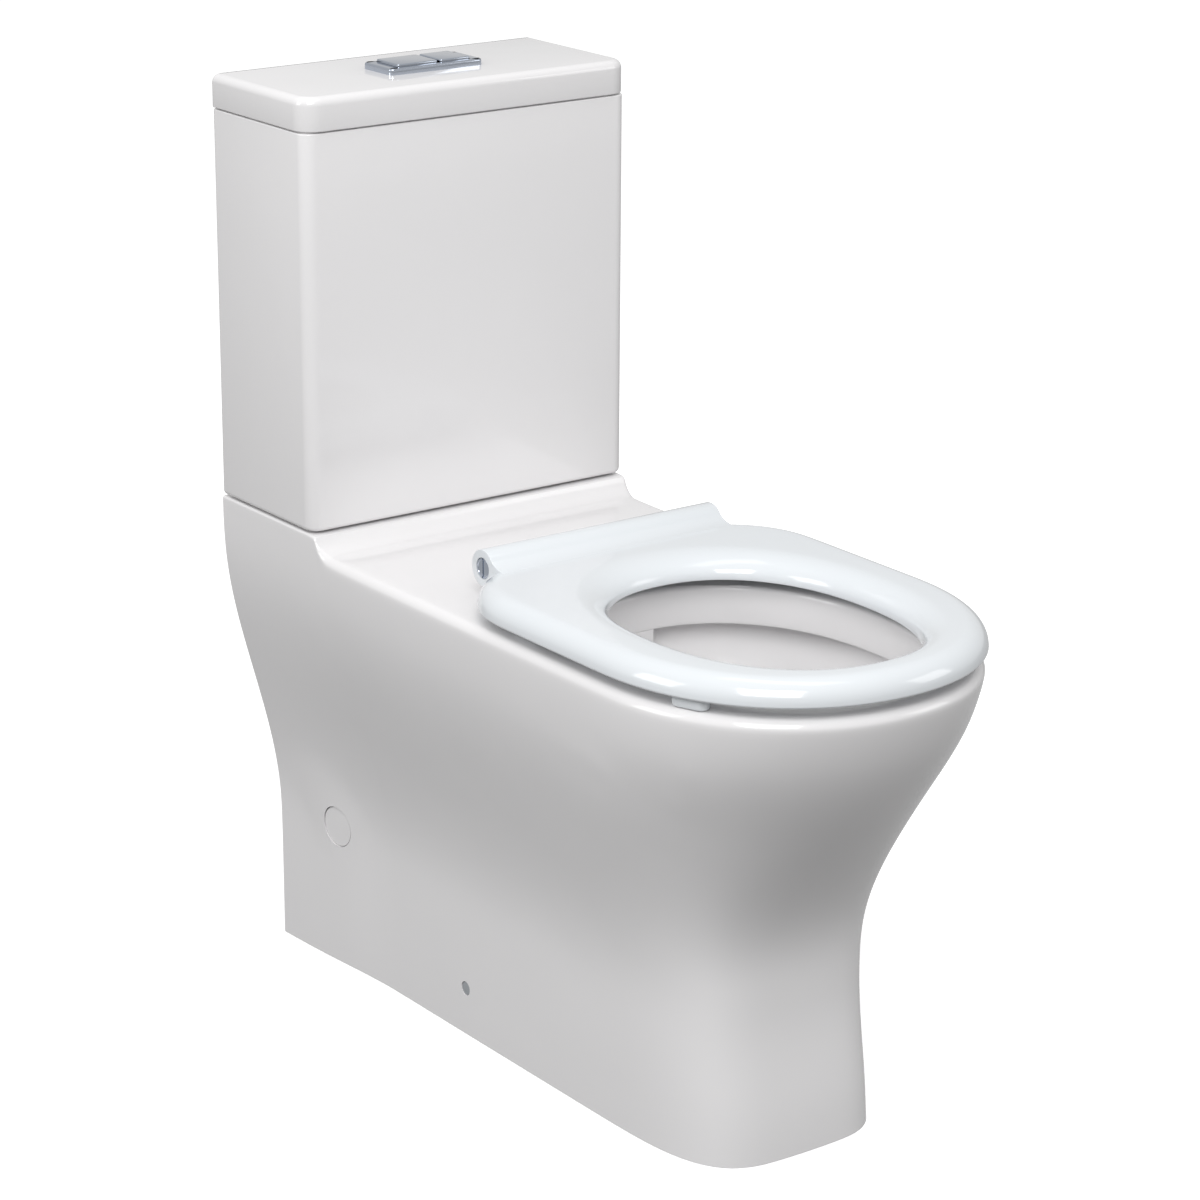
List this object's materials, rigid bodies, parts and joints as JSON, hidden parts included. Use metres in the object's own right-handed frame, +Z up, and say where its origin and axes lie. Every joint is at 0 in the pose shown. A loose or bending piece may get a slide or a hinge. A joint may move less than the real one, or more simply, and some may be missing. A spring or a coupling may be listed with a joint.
{
  "type": "back-to-wall toilet",
  "caption": "Close-coupled back-to-wall toilet: fully skirted pan, rimless bowl, square cistern with dual-flush plate, open oval seat on a bar hinge.",
  "frame": {"origin": "centre of the bounding box on the floor; the wall is the plane y = +0.399", "axes": "+Z up, -Y towards the front of the seat, +X to the user's left when seated"},
  "size_m": [0.358, 0.798, 0.8748],
  "materials": {
    "porcelain": "glossy vitreous glaze",
    "seat_white": "glossy moulded resin",
    "chrome": "polished plating",
    "steel": "plain zinc-plated",
    "brass": "turned",
    "valve_white": "moulded",
    "valve_blue": "moulded",
    "grey_plastic": "moulded",
    "rubber": "moulded"
  },
  "bodies": {
    "fixed": {"pan": "porcelain", "trapway": "porcelain", "outlet_spigot": "porcelain", "water_duct": "porcelain", "cistern": "porcelain", "hinge_pins": "chrome", "hinge_posts": "chrome", "hinge_washers": "rubber", "hinge_nuts": "grey_plastic", "flush_valve_body": "valve_white", "flush_valve_nut": "valve_white", "cistern_gasket": "rubber", "lever_pins": "steel", "inlet_valve_body": "valve_white", "inlet_valve_nut": "brass", "inlet_valve_washer": "rubber", "inlet_arm_pin": "steel", "cistern_bolts": "steel", "cistern_bolt_seals": "rubber", "cistern_bolt_washers": "steel", "cistern_wing_nuts": "brass", "side_caps": "porcelain", "floor_brackets": "steel", "bracket_screws": "steel", "screw_caps": "grey_plastic"},
    "lid": {"cistern_lid": "porcelain", "button_plate": "chrome", "button_sleeve": "grey_plastic", "sleeve_nut": "grey_plastic"},
    "full_button": {"full_flush_button": "chrome", "full_push_rod": "grey_plastic"},
    "half_button": {"half_flush_button": "chrome", "half_push_rod": "grey_plastic"},
    "full_lever": {"full_flush_lever": "valve_white"},
    "half_lever": {"half_flush_lever": "valve_white"},
    "valve_core": {"overflow_tube": "valve_blue", "valve_seal": "rubber"},
    "float": {"inlet_float": "grey_plastic"},
    "float_arm": {"inlet_arm": "valve_blue"},
    "seat": {"seat_ring": "seat_white", "seat_buffers": "seat_white"}
  },
  "joints": [
    {"name": "seat_hinge", "type": "hinge", "parent": "fixed", "child": "seat", "pos_m": [0, 0.0355, 0.4755], "axis": [-1, 0, 0], "range_deg": [0, 112]},
    {"name": "lid_lift", "type": "slide", "parent": "fixed", "child": "lid", "axis": [0, 0, 1], "range_m": [0, 0.15]},
    {"name": "full_button_press", "type": "slide", "parent": "lid", "child": "full_button", "axis": [0, 0, -1], "range_m": [0, 0.003], "stiffness_N_per_m": 1500, "springref_m": -0.003},
    {"name": "half_button_press", "type": "slide", "parent": "lid", "child": "half_button", "axis": [0, 0, -1], "range_m": [0, 0.003], "stiffness_N_per_m": 1500, "springref_m": -0.003},
    {"name": "full_lever_turn", "type": "hinge", "parent": "fixed", "child": "full_lever", "pos_m": [0, 0.3085, 0.75], "axis": [0, -1, 0], "range_deg": [0, 18.6]},
    {"name": "half_lever_turn", "type": "hinge", "parent": "fixed", "child": "half_lever", "pos_m": [0, 0.3215, 0.75], "axis": [0, 1, 0], "range_deg": [0, 18.6]},
    {"name": "valve_lift", "type": "slide", "parent": "fixed", "child": "valve_core", "axis": [0, 0, 1], "range_m": [0, 0.006]},
    {"name": "float_rise", "type": "slide", "parent": "fixed", "child": "float", "axis": [0, 0, 1], "range_m": [0, 0.012]},
    {"name": "float_arm_turn", "type": "hinge", "parent": "fixed", "child": "float_arm", "pos_m": [-0.13, 0.315, 0.78], "axis": [0, -1, 0], "range_deg": [0, 28.8]}
  ],
  "couplings": [
    {"joint": "full_lever_turn", "follows": "full_button_press", "rad_per_m": 107},
    {"joint": "half_lever_turn", "follows": "half_button_press", "rad_per_m": 107},
    {"joint": "valve_lift", "follows": "full_button_press", "ratio": 2},
    {"joint": "float_arm_turn", "follows": "float_rise", "rad_per_m": 41.7}
  ]
}
